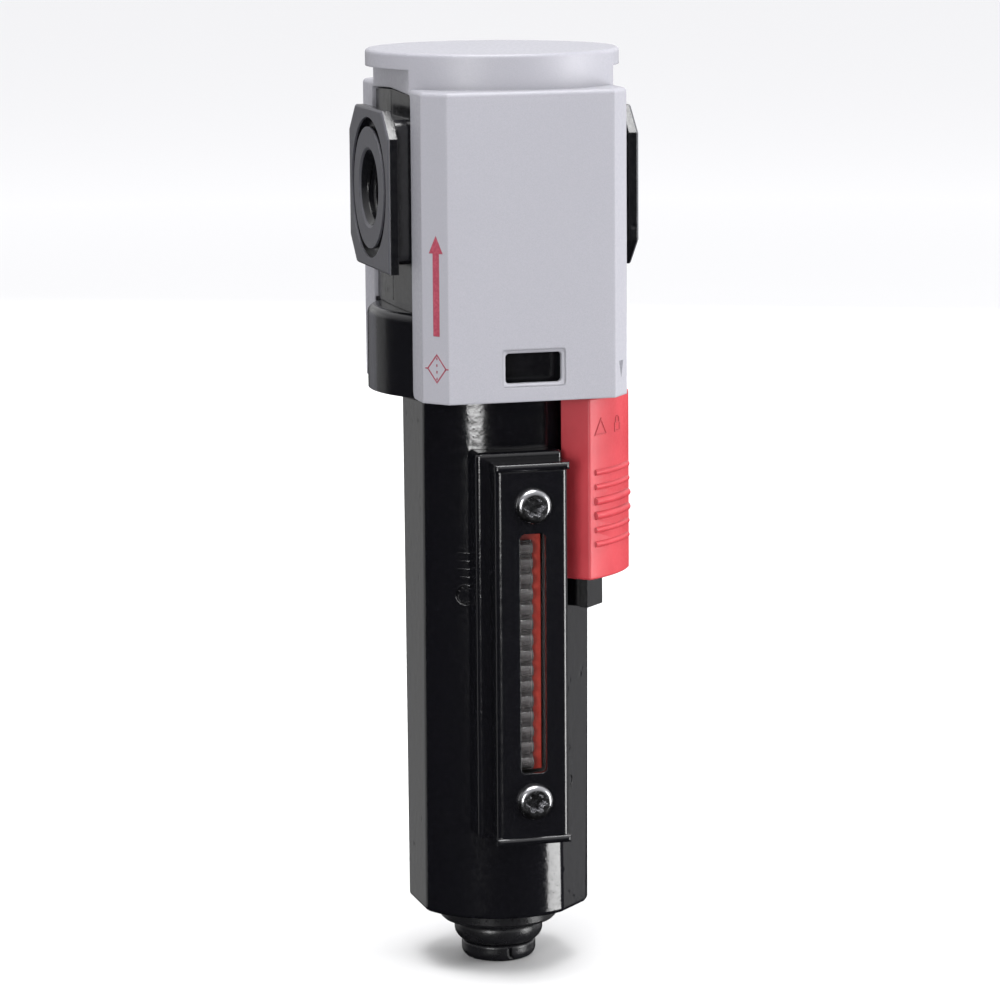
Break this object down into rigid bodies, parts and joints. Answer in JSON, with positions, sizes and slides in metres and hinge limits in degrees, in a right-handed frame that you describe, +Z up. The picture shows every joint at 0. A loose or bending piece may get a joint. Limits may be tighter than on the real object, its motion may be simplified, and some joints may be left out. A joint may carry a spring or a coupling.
{
  "type": "compressed air filter",
  "caption": "Pipe-mounted compressed air filter with ported head, twist-off metal bowl, slide latch, level glass and bottom drain.",
  "frame": {"origin": "middle of the pipe run, where the port axis crosses the bowl axis", "axes": "+Z up along the bowl axis, -X out of the inlet, +X out of the outlet, -Y to the front with the level glass"},
  "size_m": [0.073, 0.0813, 0.2652],
  "materials": {
    "black_casting": "gloss black paint over an aluminium die casting",
    "grey_plastic": "satin",
    "zinc_steel": "satin",
    "vane_plastic": "satin",
    "rubber": "matte",
    "porous_plastic": "matte",
    "clear_glass": "polished",
    "red_strip": "satin",
    "black_steel": "satin",
    "black_screw": "satin",
    "drain_plastic": "satin",
    "red_plastic": "satin",
    "spring_steel": "satin",
    "valve_plastic": "satin"
  },
  "bodies": {
    "head": {"head_body": "black_casting", "shroud": "grey_plastic", "swirl_vane": "vane_plastic", "upper_gasket": "rubber", "lower_gasket": "rubber", "filter_element": "porous_plastic", "element_post": "zinc_steel", "baffle": "vane_plastic", "element_nut": "zinc_steel"},
    "bowl_unit": {"bowl": "black_casting", "bowl_seal": "rubber", "glass_gasket": "rubber", "level_glass": "clear_glass", "level_strip": "red_strip", "level_cover": "black_steel", "cover_screws": "black_screw", "drain_body": "drain_plastic", "drain_body_seal": "rubber", "drain_nut": "drain_plastic"},
    "latch_unit": {"slide_latch": "red_plastic", "latch_detent_spring": "spring_steel"},
    "valve_unit": {"drain_valve": "valve_plastic", "valve_seal": "rubber", "drain_spring": "spring_steel"},
    "knob_unit": {"drain_knob": "drain_plastic", "drain_spout": "drain_plastic", "knob_clip": "spring_steel"}
  },
  "joints": [
    {"name": "bowl_turn", "type": "hinge", "parent": "head", "child": "bowl_unit", "pos_m": [0, 0, -0.05], "axis": [0, 0, 1], "range_deg": [0, 32]},
    {"name": "latch_slide", "type": "slide", "parent": "bowl_unit", "child": "latch_unit", "axis": [0, 0, -1], "range_m": [0, 0.0065]},
    {"name": "drain_turn", "type": "hinge", "parent": "bowl_unit", "child": "knob_unit", "pos_m": [0, 0, -0.218], "axis": [0, 0, 1], "range_deg": [0, 90]},
    {"name": "drain_valve_lift", "type": "slide", "parent": "bowl_unit", "child": "valve_unit", "axis": [0, 0, 1], "range_m": [0, 0.002], "deforming": ["drain_spring"]}
  ],
  "couplings": [
    {"joint": "drain_turn", "follows": "drain_valve_lift", "rad_per_m": 785.39}
  ]
}
